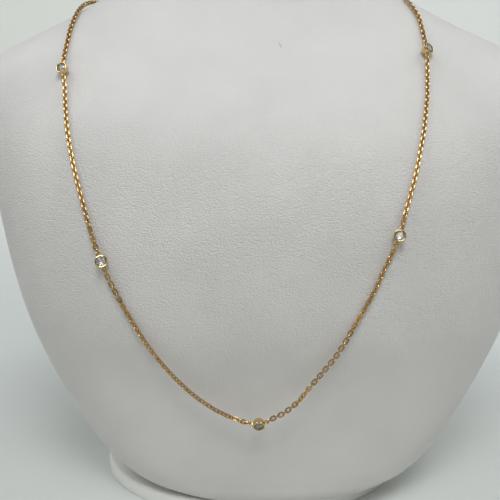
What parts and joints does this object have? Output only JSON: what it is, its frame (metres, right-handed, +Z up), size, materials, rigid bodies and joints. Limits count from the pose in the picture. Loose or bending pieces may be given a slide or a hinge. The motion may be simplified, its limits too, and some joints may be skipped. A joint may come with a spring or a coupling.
{
  "type": "diamond necklace on a neck bust",
  "caption": "Fine gold cable chain with round bezel-set diamonds at even gaps, lying as a closed loop on a white neck bust with an oval base plate.",
  "frame": {"origin": "on the surface under the base plate, in the bust's middle plane and near the plate's middle from front to back", "axes": "+Z up, -Y the front with the necklace, +X the right of the picture"},
  "size_m": [0.179, 0.101, 0.2],
  "materials": {
    "leatherette": "off-white leatherette with a fine creased grain, satin",
    "base_white": "smooth white",
    "gold": "polished yellow gold",
    "diamond": "clear cut stone"
  },
  "bodies": {
    "root": {"bust_form": "leatherette", "base_plate": "base_white", "chain_front": "gold", "chain_back": "gold", "setting_1": "gold", "setting_2": "gold", "setting_3": "gold", "setting_4": "gold", "setting_5": "gold", "clasp": "gold", "diamond_1": "diamond", "diamond_2": "diamond", "diamond_3": "diamond", "diamond_4": "diamond", "diamond_5": "diamond"}
  },
  "joints": []
}
